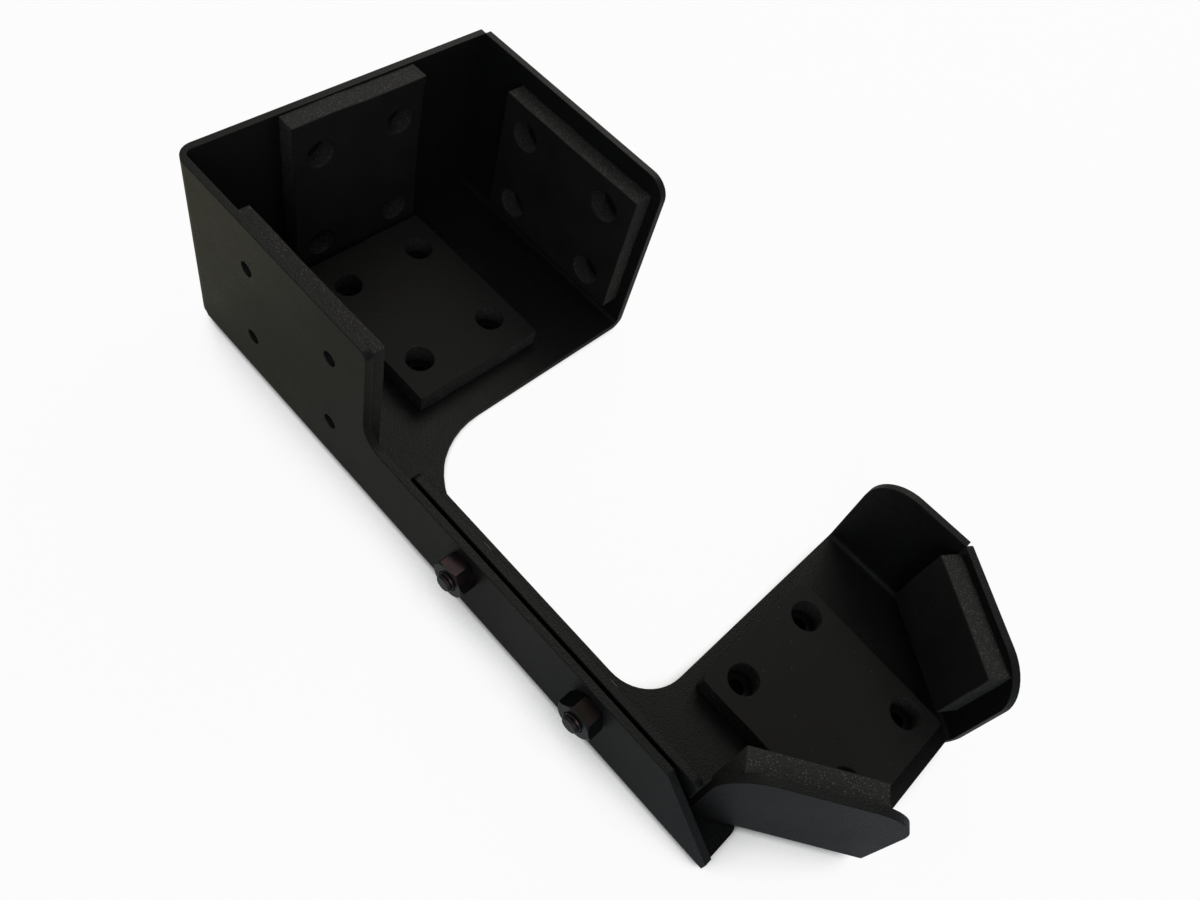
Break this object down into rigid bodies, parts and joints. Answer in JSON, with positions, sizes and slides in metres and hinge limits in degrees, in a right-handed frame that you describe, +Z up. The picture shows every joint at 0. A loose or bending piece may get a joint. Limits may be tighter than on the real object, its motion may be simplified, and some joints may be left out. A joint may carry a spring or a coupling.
{
  "type": "barcode scanner holder",
  "caption": "Folded steel holder for a handheld scanner: a padded open box for its head, a bolted arm beside its handle and a padded cradle with slanted walls for its body.",
  "frame": {"origin": "middle of the overall box, on the plane the holder stands on", "axes": "+X from the box along the arm to the cradle, +Y from the bolted flange across to the open side, +Z up, away from the underside"},
  "size_m": [0.2592, 0.1226, 0.0678],
  "materials": {
    "black_powder_coat": "fine textured satin powder coat",
    "grey_foam": "dark closed-cell foam, smooth skin and grainy cut edges",
    "black_zinc": "black passivated zinc with faint coloured sheen"
  },
  "bodies": {
    "root": {"head_bracket": "black_powder_coat", "cradle_bracket": "black_powder_coat", "box_floor_pad": "grey_foam", "box_back_pad": "grey_foam", "box_left_pad": "grey_foam", "box_right_pad": "grey_foam", "cradle_floor_pad": "grey_foam", "cradle_far_pad": "grey_foam", "cradle_near_pad": "grey_foam", "joining_bolts": "black_zinc", "hex_nuts": "black_zinc"}
  },
  "joints": []
}
